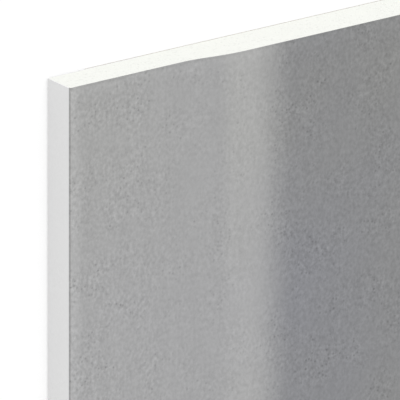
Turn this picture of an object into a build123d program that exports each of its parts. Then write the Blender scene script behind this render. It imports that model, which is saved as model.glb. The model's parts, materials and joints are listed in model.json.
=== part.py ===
from build123d import *
import os
from math import acos, degrees, sin

# A tapered-edge drywall sheet lying flat on its back paper, with its face up.
# Sizes in millimetres: X runs across the sheet, Y along its length and Z up, from the middle of its underside.

# Whole sheet
board_width = 1200.0
board_length = 2400.0
board_thickness = 12.5

# Taper along each long edge: a flat recess for the joint tape, then an S-shaped ramp up to the face
taper_depth = 2.1
recess_width = 34.5
ramp_foot_radius = 40.0
ramp_crest_radius = 58.0

# Gypsum core
core_arris_radius = 0.25

# Liner papers. The face paper wraps both long edges and turns in under the core as a flap.
# The back paper laps over the flaps and stops short of the long edges.
face_paper_thickness = 0.35
back_paper_thickness = 0.3
flap_width = 28.0
back_paper_inset = 12.0

# The ramp is two arcs that meet at its steepest point and run out level into the recess and the face
ramp_radii = ramp_foot_radius + ramp_crest_radius
ramp_angle = acos(1 - taper_depth / ramp_radii)
ramp_width = ramp_radii * sin(ramp_angle)
ramp_turn = degrees(ramp_angle)
square_turn = 90

# Lines of the section, from the sheet's middle and its underside
half_width = board_width / 2
crest_x = half_width - recess_width - ramp_width
recess_z = board_thickness - taper_depth
flap_x = half_width - flap_width
flap_top_z = back_paper_thickness + face_paper_thickness
arris_radius = core_arris_radius + face_paper_thickness


def both_sides(line):
    """A line of the section with its mirror image at the other long edge."""
    return line + mirror(line, about=Plane.YZ)


def wrapped_line(depth):
    """The line of the section that lies a depth inside the face paper's outer surface.

    It runs over the face and, at each side, down the ramp, along the recess, round the long edge
    and in along the flap.
    """
    face_z = board_thickness - depth
    face = Line((-crest_x, face_z), (crest_x, face_z))
    crest = JernArc(face @ 1, face % 1, ramp_crest_radius - depth, -ramp_turn)
    foot = JernArc(crest @ 1, crest % 1, ramp_foot_radius + depth, ramp_turn)
    recess = Line(foot @ 1, (half_width - arris_radius, recess_z - depth))
    face_arris = JernArc(recess @ 1, recess % 1, arris_radius - depth, -square_turn)
    long_edge = Line(face_arris @ 1, (half_width - depth, back_paper_thickness + arris_radius))
    back_arris = JernArc(long_edge @ 1, long_edge % 1, arris_radius - depth, -square_turn)
    flap = Line(back_arris @ 1, (flap_x, back_paper_thickness + depth))
    side = Curve() + [crest, foot, recess, face_arris, long_edge, back_arris, flap]
    return face + both_sides(side)


def sheet_of(section):
    """A solid with this section, drawn across the sheet, along the sheet's whole length."""
    return extrude(Plane.XZ * section, amount=board_length / 2, both=True)


# Gypsum core: cast between the papers, stepped up over the flaps at each side of its underside
underside = Polyline(
    (-flap_x, flap_top_z),
    (-flap_x, back_paper_thickness),
    (flap_x, back_paper_thickness),
    (flap_x, flap_top_z),
)
core_outline = wrapped_line(face_paper_thickness) + underside
gypsum_core = sheet_of(make_face(core_outline.edges()))

# Face paper: one liner, folded round both long edges
flap_end = Line((flap_x, back_paper_thickness), (flap_x, flap_top_z))
face_paper_outline = wrapped_line(0) + wrapped_line(face_paper_thickness) + both_sides(flap_end)
face_paper = sheet_of(make_face(face_paper_outline.edges()))

# Back paper: a flat liner, glued to the core's underside and to the flaps
back_paper_width = board_width - 2 * back_paper_inset
back_paper_section = Rectangle(
    back_paper_width, back_paper_thickness, align=(Align.CENTER, Align.MIN)
)
back_paper = sheet_of(back_paper_section)

pieces = {"gypsum_core": gypsum_core, "face_paper": face_paper, "back_paper": back_paper}
os.makedirs("parts", exist_ok=True)
for name, piece in pieces.items():
    export_step(piece, f"parts/{name}.step")
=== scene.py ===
import json
import math

import bpy
from mathutils import Matrix, Vector


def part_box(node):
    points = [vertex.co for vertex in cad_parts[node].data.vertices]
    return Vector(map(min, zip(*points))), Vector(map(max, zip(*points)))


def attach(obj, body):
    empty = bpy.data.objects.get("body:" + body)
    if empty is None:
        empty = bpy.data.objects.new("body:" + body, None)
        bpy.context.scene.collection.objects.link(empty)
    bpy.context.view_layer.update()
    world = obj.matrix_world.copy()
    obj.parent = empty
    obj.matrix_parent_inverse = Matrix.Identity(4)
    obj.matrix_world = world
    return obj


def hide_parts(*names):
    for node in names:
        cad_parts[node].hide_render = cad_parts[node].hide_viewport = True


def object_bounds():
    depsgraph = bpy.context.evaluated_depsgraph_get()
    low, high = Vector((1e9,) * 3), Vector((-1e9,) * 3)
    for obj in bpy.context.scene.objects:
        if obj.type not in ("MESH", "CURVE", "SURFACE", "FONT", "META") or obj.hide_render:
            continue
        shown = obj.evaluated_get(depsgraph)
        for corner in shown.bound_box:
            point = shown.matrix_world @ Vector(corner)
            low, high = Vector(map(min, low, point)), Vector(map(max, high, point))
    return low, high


# A tapered-edge drywall sheet, face up on a pale studio floor, seen from above one corner of its cut end.

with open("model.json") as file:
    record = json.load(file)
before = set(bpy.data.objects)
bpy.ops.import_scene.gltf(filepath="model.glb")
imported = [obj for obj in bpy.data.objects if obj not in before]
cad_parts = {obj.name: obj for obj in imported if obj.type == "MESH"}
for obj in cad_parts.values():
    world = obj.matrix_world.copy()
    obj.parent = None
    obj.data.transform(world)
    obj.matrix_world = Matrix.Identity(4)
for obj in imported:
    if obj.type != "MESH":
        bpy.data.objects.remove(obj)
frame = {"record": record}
cad_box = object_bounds()

mm = 0.001

# Whole sheet and its papers, in metres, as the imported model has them
half_width = cad_box[1].x
half_length = cad_box[1].y
thickness = cad_box[1].z
face_paper_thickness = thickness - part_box("gypsum_core")[1].z
back_paper_half_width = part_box("back_paper")[1].x
back_paper_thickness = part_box("back_paper")[1].z

# Taper along each long edge: a flat recess for the joint tape, then a ramp of two arcs up to the face
mounts = {mount["name"]: mount["pos_m"] for mount in frame["record"]["mounts"]}
recess_middle_x, _, recess_z = mounts["right_tape_recess"]
recess_width = 2 * (half_width - recess_middle_x)
ramp_foot_radius = 40 * mm
ramp_crest_radius = 58 * mm
ramp_radii = ramp_foot_radius + ramp_crest_radius
ramp_angle = math.acos(1 - (thickness - recess_z) / ramp_radii)
ramp_width = ramp_radii * math.sin(ramp_angle)
ramp_foot_x = half_width - recess_width
ramp_crest_x = ramp_foot_x - ramp_width

# Folds of the face paper: round the core's arrises at the long edge, then in under the core as a flap
core_arris_radius = 0.25 * mm
flap_width = 28 * mm
arris_radius = core_arris_radius + face_paper_thickness
flap_x = half_width - flap_width

# Shades of the face from the long edge inwards, each where the pulp is warm and where it is cool: palest
# by the fold in a painted highlight, even over the recess and the ramp, paler again up to the crest and
# darkest in the field. The paler tapers and crest against the darker field are painted light, as if the
# tapers caught the light.
fold_painted_highlight = ("#b0b0af", "#b0b0b1")
recess_painted_light = ("#a6a6a5", "#a6a6a7")
ramp_painted_light = ("#a4a4a4", "#a4a4a5")
crest_painted_highlight = ("#aaaaa8", "#a8a8a9")
field_shades = ("#8b8b89", "#88898e")
# Widths of the painted highlight by the fold and on the crest, and of the fade into the darker field
fold_highlight_fade = 4 * mm
crest_highlight_band = 3.5 * mm
field_fade = 15 * mm
crest_distance = recess_width + ramp_width
face_shades_and_painted_light = (
    (arris_radius, fold_painted_highlight),
    (arris_radius + fold_highlight_fade, recess_painted_light),
    (crest_distance - ramp_width / 2, ramp_painted_light),
    (crest_distance - crest_highlight_band, crest_painted_highlight),
    (crest_distance, crest_painted_highlight),
    (crest_distance + field_fade, field_shades),
)

# Steps in each rounded corner, the length below which a step is closed up, as where two arcs meet,
# and the angle above which an edge between two faces stays sharp
arc_steps = 10
least_step = 0.001 * mm
sharp_angle = math.radians(40)


def linear(hex_colour):
    """An sRGB hex colour as the linear colour that a shader takes."""
    shares = [int(hex_colour[i : i + 2], 16) / 255 for i in (1, 3, 5)]
    rgb = [s / 12.92 if s <= 0.04045 else ((s + 0.055) / 1.055) ** 2.4 for s in shares]
    return (*rgb, 1.0)


def add_node(tree, kind, inputs=None, **settings):
    """Adds a node with its settings. An input takes a value, a socket, or a node for its first output."""
    node = tree.nodes.new(kind)
    for name, value in settings.items():
        setattr(node, name, value)
    sockets = {socket.identifier: socket for socket in node.inputs}
    for name, value in (inputs or {}).items():
        if isinstance(value, bpy.types.Node):
            value = next(socket for socket in value.outputs if socket.enabled)
        if isinstance(value, bpy.types.NodeSocket):
            tree.links.new(value, sockets[name])
        else:
            sockets[name].default_value = value
    return node


# Shapes: each piece is a section, drawn by its corners and run along the sheet


def wrapped_corners(depth):
    """Corners, as x, z and rounding, of the line that lies a depth inside the face paper's outer surface.

    They run from the ramp's crest at the right-hand side, round the long edge, to the end of the flap.
    """
    crest_radius = ramp_crest_radius - depth
    foot_radius = ramp_foot_radius + depth
    bend = math.tan(ramp_angle / 2)
    edge_x = half_width - depth
    flap_z = back_paper_thickness + depth
    return [
        (ramp_crest_x + crest_radius * bend, thickness - depth, crest_radius),
        (ramp_foot_x - foot_radius * bend, recess_z - depth, foot_radius),
        (edge_x, recess_z - depth, arris_radius - depth),
        (edge_x, flap_z, arris_radius - depth),
        (flap_x, flap_z, 0),
    ]


def mirrored(corners):
    """The same corners at the other long edge, in the order that goes on round the section."""
    return [(-x, z, rounding) for x, z, rounding in reversed(corners)]


def sweep_tree():
    """The tree that rounds a section's corners and runs it along the sheet, with closed ends."""
    tree = bpy.data.node_groups.new("section along the sheet", "GeometryNodeTree")
    tree.interface.new_socket("Section", in_out="INPUT", socket_type="NodeSocketGeometry")
    tree.interface.new_socket("Half length", in_out="INPUT", socket_type="NodeSocketFloat")
    tree.interface.new_socket("Arc steps", in_out="INPUT", socket_type="NodeSocketInt")
    tree.interface.new_socket("Sharp angle", in_out="INPUT", socket_type="NodeSocketFloat")
    tree.interface.new_socket("Least step", in_out="INPUT", socket_type="NodeSocketFloat")
    tree.interface.new_socket("Material", in_out="INPUT", socket_type="NodeSocketMaterial")
    result = tree.interface.new_socket("Piece", in_out="OUTPUT", socket_type="NodeSocketGeometry")
    given = add_node(tree, "NodeGroupInput").outputs

    loop = add_node(tree, "GeometryNodeMeshToCurve", {"Mesh": given["Section"]})
    rounding = add_node(tree, "GeometryNodeInputNamedAttribute", {"Name": "rounding"}, data_type="FLOAT")
    section = add_node(
        tree,
        "GeometryNodeFilletCurve",
        {"Curve": loop, "Count": given["Arc steps"], "Radius": rounding, "Limit Radius": True},
        mode="POLY",
    )

    far = add_node(tree, "ShaderNodeCombineXYZ", {"Y": given["Half length"]})
    near = add_node(tree, "ShaderNodeVectorMath", {"Vector": far, "Scale": -1}, operation="SCALE")
    path = add_node(tree, "GeometryNodeCurvePrimitiveLine", {"Start": near, "End": far})
    upright = add_node(
        tree, "GeometryNodeSetCurveNormal", {"Curve": path, "Normal": (-1, 0, 0)}, mode="FREE"
    )
    swept = add_node(
        tree, "GeometryNodeCurveToMesh", {"Curve": upright, "Profile Curve": section, "Fill Caps": True}
    )
    joined = add_node(
        tree, "GeometryNodeMergeByDistance", {"Geometry": swept, "Distance": given["Least step"]}
    )

    smooth = add_node(tree, "GeometryNodeSetShadeSmooth", {"Geometry": joined, "Shade Smooth": True})
    turn = add_node(tree, "GeometryNodeInputMeshEdgeAngle")
    sharp = add_node(
        tree, "FunctionNodeCompare", {"A": turn, "B": given["Sharp angle"]}, operation="GREATER_THAN"
    )
    shaded = add_node(
        tree,
        "GeometryNodeSetShadeSmooth",
        {"Geometry": smooth, "Selection": sharp, "Shade Smooth": False},
        domain="EDGE",
    )
    real = add_node(tree, "GeometryNodeRealizeInstances", {"Geometry": shaded})
    dressed = add_node(tree, "GeometryNodeSetMaterial", {"Geometry": real, "Material": given["Material"]})
    add_node(tree, "NodeGroupOutput", {result.identifier: dressed})
    return tree


def swept_piece(name, corners, tree, material):
    """A piece with this section, as a plain mesh whose flats shade flat up to its rounded corners."""
    points = [(x, z, 0) for x, z, _ in corners]
    sides = [(i, (i + 1) % len(corners)) for i in range(len(corners))]
    outline = bpy.data.meshes.new(name)
    outline.from_pydata(points, sides, [])
    rounding = outline.attributes.new("rounding", "FLOAT", "POINT")
    rounding.data.foreach_set("value", [r for _, _, r in corners])
    piece = bpy.data.objects.new(name, outline)
    bpy.context.scene.collection.objects.link(piece)

    sweep = piece.modifiers.new("sweep", "NODES")
    sweep.node_group = tree
    values = {
        "Half length": half_length,
        "Arc steps": arc_steps,
        "Sharp angle": sharp_angle,
        "Least step": least_step,
        "Material": material,
    }
    for item in tree.interface.items_tree:
        if item.name in values:
            sweep[item.identifier] = values[item.name]
    normals = piece.modifiers.new("flat faces", "WEIGHTED_NORMAL")
    normals.keep_sharp = True

    evaluated = piece.evaluated_get(bpy.context.evaluated_depsgraph_get())
    piece.data = bpy.data.meshes.new_from_object(evaluated)
    piece.modifiers.clear()
    piece.data.name = name
    bpy.data.meshes.remove(outline)
    return piece


# Materials. Their sizes are in millimetres, and so are their coordinates, from the sheet's origin.
# Most of a noise lies between its low and its high value.

noise_low = 0.3
noise_high = 0.7


def new_material(name):
    """An empty material, its tree, and the place of each point in millimetres."""
    material = bpy.data.materials.new(name)
    material.use_nodes = True
    tree = material.node_tree
    tree.nodes.clear()
    place = add_node(tree, "ShaderNodeTexCoord").outputs["Object"]
    place_mm = add_node(tree, "ShaderNodeVectorMath", {"Vector": place, "Scale": 1 / mm}, operation="SCALE")
    return material, tree, place_mm


def tone_of(tree, place, patterns):
    """A tone that multiplies a colour: noises this wide across and along the sheet, each this strong."""
    tone = 1.0
    for across, along, strength in patterns:
        cells = add_node(
            tree,
            "ShaderNodeVectorMath",
            {"Vector": place, "Vector_001": (1 / across, 1 / along, 1 / across)},
            operation="MULTIPLY",
        )
        noise = add_node(
            tree, "ShaderNodeTexNoise", {"Vector": cells, "Scale": 1.0, "Detail": 2.5, "Roughness": 0.6}
        )
        step = add_node(
            tree,
            "ShaderNodeMapRange",
            {"Value": noise, "To Min": 1 - strength, "To Max": 1 + strength},
        )
        tone = add_node(tree, "ShaderNodeMath", {"Value": tone, "Value_001": step}, operation="MULTIPLY")
    return tone


def matt_surface(tree, colour, tone, relief, relief_depth, roughness):
    """Ends a material: a matt surface with this colour and tone, and a relief this many millimetres deep.

    Its roughness runs from the first of the two values in the hollows to the second on the crests.
    """
    toned = add_node(tree, "ShaderNodeHueSaturation", {"Color": colour, "Value": tone})
    bump = add_node(
        tree, "ShaderNodeBump", {"Height": relief, "Strength": 1.0, "Distance": relief_depth * mm}
    )
    rough = add_node(
        tree, "ShaderNodeMapRange", {"Value": relief, "To Min": roughness[0], "To Max": roughness[1]}
    )
    surface = add_node(
        tree,
        "ShaderNodeBsdfPrincipled",
        {"Base Color": toned, "Roughness": rough, "Specular IOR Level": 0.2, "Normal": bump},
    )
    add_node(tree, "ShaderNodeOutputMaterial", {"Surface": surface})


def paper_surface(tree, place, colour, tone):
    """Ends a paper's material: this colour and tone over the felt of fibres that both liners have.

    Single fibres are too fine to show, so their relief is drawn half a millimetre wide.
    """
    fibre_size = 0.5
    fibre_relief = 0.02
    fibres = add_node(tree, "ShaderNodeTexNoise", {"Vector": place, "Scale": 1 / fibre_size, "Detail": 3.0})
    matt_surface(tree, colour, tone, fibres, fibre_relief, (0.84, 0.95))


def pulp_grain(tree, place):
    """The grain of recycled pulp, as a tone, and the noise that gathers its flecks in clusters.

    The flecks are bits of old print, in some of the cells of a pattern, and in more of them in a cluster.
    Single fibres are too fine to show, so the grain between flecks is drawn as clumps a millimetre wide.
    """
    fleck_spacing = 1.1
    fleck_heart = 0.165
    fleck_rim = 0.44
    fleck_tone = 0.8
    cluster_size = 9
    cluster_pull = 2.0
    no_fleck, full_fleck = 1.5, 2.1
    cells = add_node(tree, "ShaderNodeTexVoronoi", {"Vector": place, "Scale": 1 / fleck_spacing}).outputs
    draw = add_node(tree, "ShaderNodeSeparateColor", {"Color": cells["Color"]}).outputs["Red"]
    cluster = add_node(
        tree, "ShaderNodeTexNoise", {"Vector": place, "Scale": 1 / cluster_size, "Detail": 2.0}
    )
    chance = add_node(
        tree,
        "ShaderNodeMath",
        {"Value": cluster, "Value_001": cluster_pull, "Value_002": draw},
        operation="MULTIPLY_ADD",
    )
    held = add_node(
        tree, "ShaderNodeMapRange", {"Value": chance, "From Min": no_fleck, "From Max": full_fleck}
    )
    fleck = add_node(
        tree,
        "ShaderNodeMapRange",
        {
            "Value": cells["Distance"],
            "From Min": fleck_rim / fleck_spacing,
            "From Max": fleck_heart / fleck_spacing,
        },
        interpolation_type="SMOOTHSTEP",
    )
    ink = add_node(tree, "ShaderNodeMath", {"Value": held, "Value_001": fleck}, operation="MULTIPLY")
    flecks = add_node(tree, "ShaderNodeMapRange", {"Value": ink, "To Min": 1.0, "To Max": fleck_tone})
    clumps = tone_of(tree, place, [(0.85, 1.1, 0.34), (4, 12, 0.05)])
    grain = add_node(tree, "ShaderNodeMath", {"Value": clumps, "Value_001": flecks}, operation="MULTIPLY")
    return grain, cluster


def gypsum_core_material():
    """Gypsum plaster, foamed, cast between the papers and sawn at the ends.

    The eye gets a chalk white with a trace of green, pitted by cut bubbles with a fine crumb between them.
    The bubbles are darkened by painted shade.
    """
    material, tree, place = new_material("sawn gypsum plaster")
    bubble_spacing = 1.2
    bubble_floor = 0.144
    bubble_rim = 0.408
    crumb_size = 0.4
    pit_depth = 0.08
    pit_shade_tone = 0.93
    bubbles = add_node(tree, "ShaderNodeTexVoronoi", {"Vector": place, "Scale": 1 / bubble_spacing})
    crumb = add_node(tree, "ShaderNodeTexNoise", {"Vector": place, "Scale": 1 / crumb_size, "Detail": 3.0})
    wall = add_node(
        tree,
        "ShaderNodeMapRange",
        {
            "Value": bubbles,
            "From Min": bubble_floor / bubble_spacing,
            "From Max": bubble_rim / bubble_spacing,
        },
        interpolation_type="SMOOTHSTEP",
    )
    # Painted shade in the hollows of the cut bubbles
    pit_shade = add_node(tree, "ShaderNodeMapRange", {"Value": wall, "To Min": pit_shade_tone, "To Max": 1.0})
    mottle = tone_of(tree, place, [(0.5, 0.5, 0.03), (6, 6, 0.012), (80, 80, 0.01)])
    tone = add_node(tree, "ShaderNodeMath", {"Value": pit_shade, "Value_001": mottle}, operation="MULTIPLY")
    relief = add_node(tree, "ShaderNodeMath", {"Value": wall, "Value_001": crumb}, operation="MULTIPLY")
    matt_surface(tree, linear("#f3f4ef"), tone, relief, pit_depth, (0.9, 0.98))
    return material


def shades_across(tree, from_edge, shades):
    """A colour that eases between shades, each at its distance from the long edge."""
    reach = 80 * mm
    share = add_node(tree, "ShaderNodeMapRange", {"Value": from_edge, "From Max": reach / mm})
    colour = add_node(tree, "ShaderNodeValToRGB", {"Fac": share})
    ramp = colour.color_ramp
    ramp.interpolation = "EASE"
    while len(ramp.elements) < len(shades):
        ramp.elements.new(1.0)
    for stop, (distance, shade) in zip(ramp.elements, shades):
        stop.position = distance / reach
        stop.color = linear(shade)
    return colour


def face_colour_with_painted_light(tree, place, across):
    """The face's colour: shades with painted light on the tapers, in pulp that drifts from warm to cool."""
    drift_size = 110
    drift_seed = 1375
    drift = add_node(
        tree,
        "ShaderNodeTexNoise",
        {"Vector": place, "W": drift_seed, "Scale": 1 / drift_size, "Detail": 3.0, "Roughness": 0.55},
        noise_dimensions="4D",
    )
    warmth = add_node(
        tree, "ShaderNodeMapRange", {"Value": drift, "From Min": noise_low, "From Max": noise_high}
    )
    from_edge = add_node(
        tree, "ShaderNodeMath", {"Value": half_width / mm, "Value_001": across}, operation="SUBTRACT"
    )
    # Painted light: the tapers paler than the field, palest by the fold and at the crest
    warm = shades_across(tree, from_edge, [(distance, shade) for distance, (shade, _) in face_shades_and_painted_light])
    cool = shades_across(tree, from_edge, [(distance, shade) for distance, (_, shade) in face_shades_and_painted_light])
    return add_node(
        tree, "ShaderNodeMix", {"Factor_Float": warmth, "A_Color": cool, "B_Color": warm}, data_type="RGBA"
    )


def face_grain(tree, place, across):
    """The grain of the face, as a tone: stronger in the clusters, and calm where bars pressed the ramps."""
    cluster_strength = 0.4
    calm_reach = 12
    calm_end = 24
    calm_share = 0.65
    grain, cluster = pulp_grain(tree, place)
    patchy = add_node(
        tree,
        "ShaderNodeMapRange",
        {
            "Value": cluster,
            "From Min": noise_low,
            "From Max": noise_high,
            "To Min": 1 - cluster_strength,
            "To Max": 1 + cluster_strength,
        },
    )
    ramp_middle = (ramp_foot_x + ramp_crest_x) / 2 / mm
    off_ramp = add_node(
        tree, "ShaderNodeMath", {"Value": across, "Value_001": ramp_middle}, operation="SUBTRACT"
    )
    ramp_distance = add_node(tree, "ShaderNodeMath", {"Value": off_ramp}, operation="ABSOLUTE")
    calm = add_node(
        tree,
        "ShaderNodeMapRange",
        {"Value": ramp_distance, "From Min": calm_reach, "From Max": calm_end, "To Min": calm_share},
        interpolation_type="SMOOTHSTEP",
    )
    strength = add_node(tree, "ShaderNodeMath", {"Value": calm, "Value_001": patchy}, operation="MULTIPLY")
    return add_node(
        tree,
        "ShaderNodeMix",
        {"Factor_Float": strength, "A_Float": 1.0, "B_Float": grain},
        clamp_factor=False,
    )


def sawn_end_tone(tree, along):
    """A tone for the face by the sawn ends: a paler strip, with the dark lip of the cut."""
    strip_start, strip_end, strip_tone = 0.5, 4.0, 1.06
    lip_start, lip_end, lip_tone = 0.25, 0.8, 0.92
    from_end = add_node(
        tree, "ShaderNodeMath", {"Value": half_length / mm, "Value_001": along}, operation="SUBTRACT"
    )
    strip = add_node(
        tree,
        "ShaderNodeMapRange",
        {"Value": from_end, "From Min": strip_start, "From Max": strip_end, "To Min": strip_tone},
    )
    lip = add_node(
        tree,
        "ShaderNodeMapRange",
        {"Value": from_end, "From Min": lip_start, "From Max": lip_end, "To Min": lip_tone},
        interpolation_type="SMOOTHSTEP",
    )
    return add_node(tree, "ShaderNodeMath", {"Value": strip, "Value_001": lip}, operation="MULTIPLY")


def fold_of_the_edge(tree, across, height):
    """The share of the folded edge and flap at a point, and the painted shade of the crease before them."""
    wrap_start, wrap_end = 0.35, 0.55
    crease_middle, crease_core, crease_edge, crease_shade_tone = 0.05, 0.15, 0.45, 0.8
    fold_x = (half_width - arris_radius) / mm
    fold_z = (recess_z - arris_radius) / mm

    # Place round the arris: below zero on the face, above it on the edge
    out = add_node(tree, "ShaderNodeMath", {"Value": across, "Value_001": fold_x}, operation="SUBTRACT")
    up = add_node(tree, "ShaderNodeMath", {"Value": height, "Value_001": fold_z}, operation="SUBTRACT")
    turn = add_node(tree, "ShaderNodeMath", {"Value": out, "Value_001": up}, operation="SUBTRACT")
    edge = add_node(
        tree,
        "ShaderNodeMapRange",
        {"Value": turn, "From Min": wrap_start, "From Max": wrap_end},
        interpolation_type="SMOOTHSTEP",
    )
    flap = add_node(
        tree, "ShaderNodeMapRange", {"Value": height, "From Min": fold_z / 2, "From Max": fold_z / 4}
    )
    wrap = add_node(tree, "ShaderNodeMath", {"Value": edge, "Value_001": flap}, operation="MAXIMUM")

    # Painted shade: the paper darkened along the crease of the fold
    off_crease = add_node(
        tree, "ShaderNodeMath", {"Value": turn, "Value_001": crease_middle}, operation="SUBTRACT"
    )
    crease_distance = add_node(tree, "ShaderNodeMath", {"Value": off_crease}, operation="ABSOLUTE")
    painted_crease_shade = add_node(
        tree,
        "ShaderNodeMapRange",
        {"Value": crease_distance, "From Min": crease_core, "From Max": crease_edge, "To Min": crease_shade_tone},
        interpolation_type="SMOOTHSTEP",
    )
    return wrap, painted_crease_shade


def face_paper_material():
    """Face liner: grey recycled paper, folded round the long edges and pressed by bars that form the taper.

    The eye gets a matt grey that drifts between warm and cool, with fibre clumps, faint streaks along the
    roll and clusters of dark flecks. Painted light makes the tapers paler than the field between them, the
    fold and the crest palest; the bars left the ramps smoother, and beyond a crease darkened by painted
    shade the folded edges are almost white.
    """
    material, tree, place = new_material("grey face liner paper")
    axes = add_node(tree, "ShaderNodeSeparateXYZ", {"Vector": place}).outputs
    across = add_node(tree, "ShaderNodeMath", {"Value": axes["X"]}, operation="ABSOLUTE")
    along = add_node(tree, "ShaderNodeMath", {"Value": axes["Y"]}, operation="ABSOLUTE")

    wrap, painted_crease_shade = fold_of_the_edge(tree, across, axes["Z"])
    colour = add_node(
        tree,
        "ShaderNodeMix",
        {"Factor_Float": wrap, "A_Color": face_colour_with_painted_light(tree, place, across), "B_Color": linear("#efefef")},
        data_type="RGBA",
    )

    tone = face_grain(tree, place, across)
    streaks = tone_of(tree, place, [(2.5, 60, 0.04), (60, 160, 0.03), (50, 2500, 0.04), (250, 600, 0.05)])
    for part in (streaks, sawn_end_tone(tree, along)):
        tone = add_node(tree, "ShaderNodeMath", {"Value": tone, "Value_001": part}, operation="MULTIPLY")

    # Only a tenth of that shows on the folded edges
    even_share = 0.9
    even = add_node(tree, "ShaderNodeMath", {"Value": wrap, "Value_001": even_share}, operation="MULTIPLY")
    tone = add_node(tree, "ShaderNodeMix", {"Factor_Float": even, "A_Float": tone, "B_Float": 1.0})
    # Painted shade along the crease of the fold
    tone = add_node(tree, "ShaderNodeMath", {"Value": tone, "Value_001": painted_crease_shade}, operation="MULTIPLY")
    paper_surface(tree, place, colour, tone)
    return material


def back_paper_material():
    """Back liner: unbleached recycled paper, glued flat over the flaps.

    The eye gets a matt buff grey with fibre clumps, clusters of dark flecks and faint streaks along it.
    """
    material, tree, place = new_material("buff back liner paper")
    grain, _ = pulp_grain(tree, place)
    streaks = tone_of(tree, place, [(3, 80, 0.05), (40, 2500, 0.05), (200, 500, 0.05)])
    tone = add_node(tree, "ShaderNodeMath", {"Value": grain, "Value_001": streaks}, operation="MULTIPLY")
    paper_surface(tree, place, linear("#c8c4bb"), tone)
    return material


# Pieces of the sheet

sweep = sweep_tree()
outer = wrapped_corners(0)
inner = wrapped_corners(face_paper_thickness)
underside = [(flap_x, back_paper_thickness, 0)]
core_side = underside + inner[::-1]
core_corners = core_side + mirrored(core_side)
paper_corners = inner + outer[::-1] + mirrored(outer[::-1]) + mirrored(inner)
back_corners = [
    (-back_paper_half_width, 0, 0),
    (back_paper_half_width, 0, 0),
    (back_paper_half_width, back_paper_thickness, 0),
    (-back_paper_half_width, back_paper_thickness, 0),
]
pieces = (
    ("core_of_gypsum", core_corners, gypsum_core_material(), "gypsum_core", "gypsum"),
    ("liner_of_the_face", paper_corners, face_paper_material(), "face_paper", "face_liner"),
    ("liner_of_the_back", back_corners, back_paper_material(), "back_paper", "back_liner"),
)
for name, corners, material, node, slot in pieces:
    piece = swept_piece(name, corners, sweep, material)
    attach(piece, "root")
    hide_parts(node)


# Studio: an even sky, one broad lamp and a pale floor. Sky and floor look white, and light the sheet less.

sky_level = 0.77
lamp_level = 0.33 * math.pi
lamp_spread = math.radians(40)
lamp_elevation = math.radians(44)
floor_half = 40
floor_gap = 0.1 * mm
floor_glow = 1.14
floor_glow_share = 0.6
white = (1, 1, 1, 1)


def background_rays(tree):
    """One for a ray that shows the background itself: straight from the camera, or by gloss or glass."""
    path = add_node(tree, "ShaderNodeLightPath").outputs
    seen = add_node(
        tree,
        "ShaderNodeMath",
        {"Value": path["Is Camera Ray"], "Value_001": path["Is Glossy Ray"]},
        operation="MAXIMUM",
    )
    return add_node(
        tree,
        "ShaderNodeMath",
        {"Value": seen, "Value_001": path["Is Transmission Ray"]},
        operation="MAXIMUM",
    )


world = bpy.data.worlds.new("even white sky")
world.use_nodes = True
sky = world.node_tree
sky.nodes.clear()
level = add_node(
    sky, "ShaderNodeMapRange", {"Value": background_rays(sky), "To Min": sky_level, "To Max": 1.0}
)
background = add_node(sky, "ShaderNodeBackground", {"Color": white, "Strength": level})
add_node(sky, "ShaderNodeOutputWorld", {"Surface": background})
bpy.context.scene.world = world

lamp = bpy.data.lights.new("broad lamp", "SUN")
lamp.energy = lamp_level
lamp.angle = lamp_spread
lamp_object = bpy.data.objects.new("broad lamp", lamp)
towards_lamp = Vector((0, math.cos(lamp_elevation), math.sin(lamp_elevation)))
lamp_object.rotation_euler = towards_lamp.to_track_quat("Z", "Y").to_euler()
bpy.context.scene.collection.objects.link(lamp_object)

floor_white = bpy.data.materials.new("white floor paint")
floor_white.use_nodes = True
paint = floor_white.node_tree
paint.nodes.clear()
matt = add_node(paint, "ShaderNodeBsdfDiffuse", {"Color": linear("#eeeeee")})
glow = add_node(paint, "ShaderNodeEmission", {"Color": white, "Strength": floor_glow})
share = add_node(
    paint,
    "ShaderNodeMath",
    {"Value": background_rays(paint), "Value_001": floor_glow_share},
    operation="MULTIPLY",
)
both = add_node(paint, "ShaderNodeMixShader", {"Fac": share, "Shader": matt, "Shader_001": glow})
add_node(paint, "ShaderNodeOutputMaterial", {"Surface": both})

floor_mesh = bpy.data.meshes.new("floor")
floor_quarters = ((-1, -1), (1, -1), (1, 1), (-1, 1))
floor_corners = [(x * floor_half, y * floor_half, -floor_gap) for x, y in floor_quarters]
floor_mesh.from_pydata(floor_corners, [], [(0, 1, 2, 3)])
floor_mesh.materials.append(floor_white)
floor = bpy.data.objects.new("floor", floor_mesh)
bpy.context.scene.collection.objects.link(floor)


# Camera, aimed at a point of the face in from the long edge and from the cut end

aim_from_edge = 39.19 * mm
aim_from_end = 37.27 * mm
camera_distance = 3.5661
camera_azimuth = math.radians(148.88)
camera_elevation = math.radians(49.67)
camera_roll = math.radians(-114.91)

camera = bpy.data.cameras.new("camera")
camera.lens = 1260
camera.sensor_width = 36
camera_object = bpy.data.objects.new("camera", camera)
bpy.context.scene.collection.objects.link(camera_object)
bpy.context.scene.camera = camera_object
aim = Vector((-half_width + aim_from_edge, half_length - aim_from_end, thickness))
back = Vector(
    (
        math.cos(camera_elevation) * math.cos(camera_azimuth),
        math.cos(camera_elevation) * math.sin(camera_azimuth),
        math.sin(camera_elevation),
    )
)
level_right = Vector((0, 0, 1)).cross(back).normalized()
level_up = back.cross(level_right)
up = math.cos(camera_roll) * level_up + math.sin(camera_roll) * level_right
right = up.cross(back)
turn = Matrix((right, up, back)).transposed()
camera_object.matrix_world = Matrix.Translation(aim + camera_distance * back) @ turn.to_4x4()

bpy.context.scene.view_settings.view_transform = "Standard"
